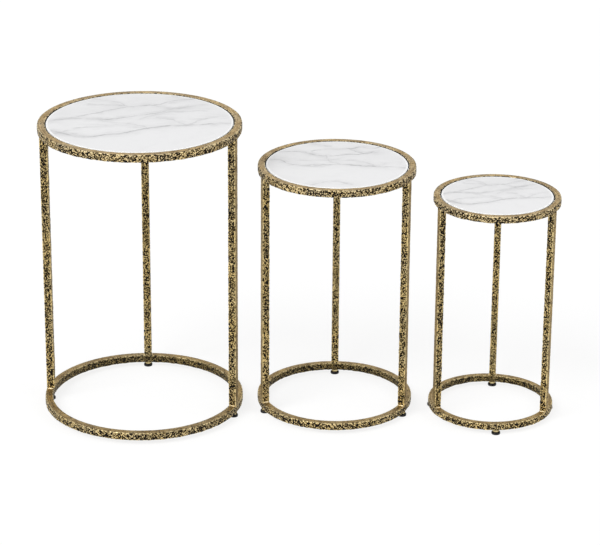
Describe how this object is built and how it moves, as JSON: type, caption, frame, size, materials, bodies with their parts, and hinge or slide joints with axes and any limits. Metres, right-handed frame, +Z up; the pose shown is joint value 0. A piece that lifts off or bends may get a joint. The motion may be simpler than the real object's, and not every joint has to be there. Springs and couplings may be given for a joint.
{
  "type": "nesting tables",
  "caption": "Round side tables that nest into each other: hammered square-bar frames with two rings and slim legs, white marble tops let into the upper ring, and levelling feet.",
  "frame": {"origin": "on the floor, under the middle of the row of three tables", "axes": "+X along the row from the large table to the small one, +Z up, -Y towards the room"},
  "size_m": [1.0438, 0.407, 0.61],
  "materials": {
    "frame_metal": "satin",
    "marble": "polished",
    "cushion": "matte",
    "foot_plastic": "satin",
    "foot_brass": "satin"
  },
  "bodies": {
    "large_frame": {"large_top_ring": "frame_metal", "large_base_ring": "frame_metal", "large_top_tabs": "frame_metal", "large_top_cushions": "cushion", "large_leg_back": "frame_metal", "large_leg_left": "frame_metal", "large_leg_right": "frame_metal"},
    "large_stone": {"large_marble_top": "marble"},
    "large_back_pad": {"large_foot_pad_back": "foot_plastic"},
    "large_back_stem": {"large_foot_stem_back": "foot_brass"},
    "large_left_pad": {"large_foot_pad_left": "foot_plastic"},
    "large_left_stem": {"large_foot_stem_left": "foot_brass"},
    "large_right_pad": {"large_foot_pad_right": "foot_plastic"},
    "large_right_stem": {"large_foot_stem_right": "foot_brass"},
    "medium_frame": {"medium_top_ring": "frame_metal", "medium_base_ring": "frame_metal", "medium_top_tabs": "frame_metal", "medium_top_cushions": "cushion", "medium_leg_back": "frame_metal", "medium_leg_left": "frame_metal", "medium_leg_right": "frame_metal"},
    "medium_stone": {"medium_marble_top": "marble"},
    "medium_back_pad": {"medium_foot_pad_back": "foot_plastic"},
    "medium_back_stem": {"medium_foot_stem_back": "foot_brass"},
    "medium_left_pad": {"medium_foot_pad_left": "foot_plastic"},
    "medium_left_stem": {"medium_foot_stem_left": "foot_brass"},
    "medium_right_pad": {"medium_foot_pad_right": "foot_plastic"},
    "medium_right_stem": {"medium_foot_stem_right": "foot_brass"},
    "small_frame": {"small_top_ring": "frame_metal", "small_base_ring": "frame_metal", "small_top_tabs": "frame_metal", "small_top_cushions": "cushion", "small_leg_back": "frame_metal", "small_leg_left": "frame_metal", "small_leg_right": "frame_metal"},
    "small_stone": {"small_marble_top": "marble"},
    "small_back_pad": {"small_foot_pad_back": "foot_plastic"},
    "small_back_stem": {"small_foot_stem_back": "foot_brass"},
    "small_left_pad": {"small_foot_pad_left": "foot_plastic"},
    "small_left_stem": {"small_foot_stem_left": "foot_brass"},
    "small_right_pad": {"small_foot_pad_right": "foot_plastic"},
    "small_right_stem": {"small_foot_stem_right": "foot_brass"},
    "small_front_pad": {"small_foot_pad_front": "foot_plastic"},
    "small_front_stem": {"small_foot_stem_front": "foot_brass"}
  },
  "joints": [
    {"name": "large_stone_lift", "type": "slide", "parent": "large_frame", "child": "large_stone", "axis": [0, 0, 1], "range_m": [0, 0.04]},
    {"name": "large_back_foot_height", "type": "slide", "parent": "large_frame", "child": "large_back_pad", "axis": [0, 0, -1], "range_m": [0, 0.005]},
    {"name": "large_back_foot_turn", "type": "hinge", "parent": "large_back_pad", "child": "large_back_stem", "pos_m": [-0.3214, 0.19497, 0.0075], "axis": [0, 0, -1], "range_deg": [0, 1800]},
    {"name": "large_left_foot_height", "type": "slide", "parent": "large_frame", "child": "large_left_pad", "axis": [0, 0, -1], "range_m": [0, 0.005]},
    {"name": "large_left_foot_turn", "type": "hinge", "parent": "large_left_pad", "child": "large_left_stem", "pos_m": [-0.51193, 0.02038, 0.0075], "axis": [0, 0, -1], "range_deg": [0, 1800]},
    {"name": "large_right_foot_height", "type": "slide", "parent": "large_frame", "child": "large_right_pad", "axis": [0, 0, -1], "range_m": [0, 0.005]},
    {"name": "large_right_foot_turn", "type": "hinge", "parent": "large_right_pad", "child": "large_right_stem", "pos_m": [-0.13254, -0.06026, 0.0075], "axis": [0, 0, -1], "range_deg": [0, 1800]},
    {"name": "medium_table_lift", "type": "slide", "parent": "large_frame", "child": "medium_frame", "axis": [0, 0, 1], "range_m": [0, 0.06]},
    {"name": "medium_stone_lift", "type": "slide", "parent": "medium_frame", "child": "medium_stone", "axis": [0, 0, 1], "range_m": [0, 0.04]},
    {"name": "medium_back_foot_height", "type": "slide", "parent": "medium_frame", "child": "medium_back_pad", "axis": [0, 0, -1], "range_m": [0, 0.005]},
    {"name": "medium_back_foot_turn", "type": "hinge", "parent": "medium_back_pad", "child": "medium_back_stem", "pos_m": [0.07613, 0.16098, 0.0075], "axis": [0, 0, -1], "range_deg": [0, 1800]},
    {"name": "medium_left_foot_height", "type": "slide", "parent": "medium_frame", "child": "medium_left_pad", "axis": [0, 0, -1], "range_m": [0, 0.005]},
    {"name": "medium_left_foot_turn", "type": "hinge", "parent": "medium_left_pad", "child": "medium_left_stem", "pos_m": [-0.06927, -0.03916, 0.0075], "axis": [0, 0, -1], "range_deg": [0, 1800]},
    {"name": "medium_right_foot_height", "type": "slide", "parent": "medium_frame", "child": "medium_right_pad", "axis": [0, 0, -1], "range_m": [0, 0.005]},
    {"name": "medium_right_foot_turn", "type": "hinge", "parent": "medium_right_pad", "child": "medium_right_stem", "pos_m": [0.21144, -0.05142, 0.0075], "axis": [0, 0, -1], "range_deg": [0, 1800]},
    {"name": "small_table_lift", "type": "slide", "parent": "large_frame", "child": "small_frame", "axis": [0, 0, 1], "range_m": [0, 0.06]},
    {"name": "small_stone_lift", "type": "slide", "parent": "small_frame", "child": "small_stone", "axis": [0, 0, 1], "range_m": [0, 0.04]},
    {"name": "small_back_foot_height", "type": "slide", "parent": "small_frame", "child": "small_back_pad", "axis": [0, 0, -1], "range_m": [0, 0.005]},
    {"name": "small_back_foot_turn", "type": "hinge", "parent": "small_back_pad", "child": "small_back_stem", "pos_m": [0.4061, 0.10384, 0.0075], "axis": [0, 0, -1], "range_deg": [0, 1800]},
    {"name": "small_left_foot_height", "type": "slide", "parent": "small_frame", "child": "small_left_pad", "axis": [0, 0, -1], "range_m": [0, 0.005]},
    {"name": "small_left_foot_turn", "type": "hinge", "parent": "small_left_pad", "child": "small_left_stem", "pos_m": [0.27417, 0.00077, 0.0075], "axis": [0, 0, -1], "range_deg": [0, 1800]},
    {"name": "small_right_foot_height", "type": "slide", "parent": "small_frame", "child": "small_right_pad", "axis": [0, 0, -1], "range_m": [0, 0.005]},
    {"name": "small_right_foot_turn", "type": "hinge", "parent": "small_right_pad", "child": "small_right_stem", "pos_m": [0.51393, -0.01179, 0.0075], "axis": [0, 0, -1], "range_deg": [0, 1800]},
    {"name": "small_front_foot_height", "type": "slide", "parent": "small_frame", "child": "small_front_pad", "axis": [0, 0, -1], "range_m": [0, 0.005]},
    {"name": "small_front_foot_turn", "type": "hinge", "parent": "small_front_pad", "child": "small_front_stem", "pos_m": [0.3977, -0.13643, 0.0075], "axis": [0, 0, -1], "range_deg": [0, 1800]}
  ],
  "couplings": [
    {"joint": "large_back_foot_height", "follows": "large_back_foot_turn", "m_per_rad": 0.00015915},
    {"joint": "large_left_foot_height", "follows": "large_left_foot_turn", "m_per_rad": 0.00015915},
    {"joint": "large_right_foot_height", "follows": "large_right_foot_turn", "m_per_rad": 0.00015915},
    {"joint": "medium_back_foot_height", "follows": "medium_back_foot_turn", "m_per_rad": 0.00015915},
    {"joint": "medium_left_foot_height", "follows": "medium_left_foot_turn", "m_per_rad": 0.00015915},
    {"joint": "medium_right_foot_height", "follows": "medium_right_foot_turn", "m_per_rad": 0.00015915},
    {"joint": "small_back_foot_height", "follows": "small_back_foot_turn", "m_per_rad": 0.00015915},
    {"joint": "small_left_foot_height", "follows": "small_left_foot_turn", "m_per_rad": 0.00015915},
    {"joint": "small_right_foot_height", "follows": "small_right_foot_turn", "m_per_rad": 0.00015915},
    {"joint": "small_front_foot_height", "follows": "small_front_foot_turn", "m_per_rad": 0.00015915}
  ]
}
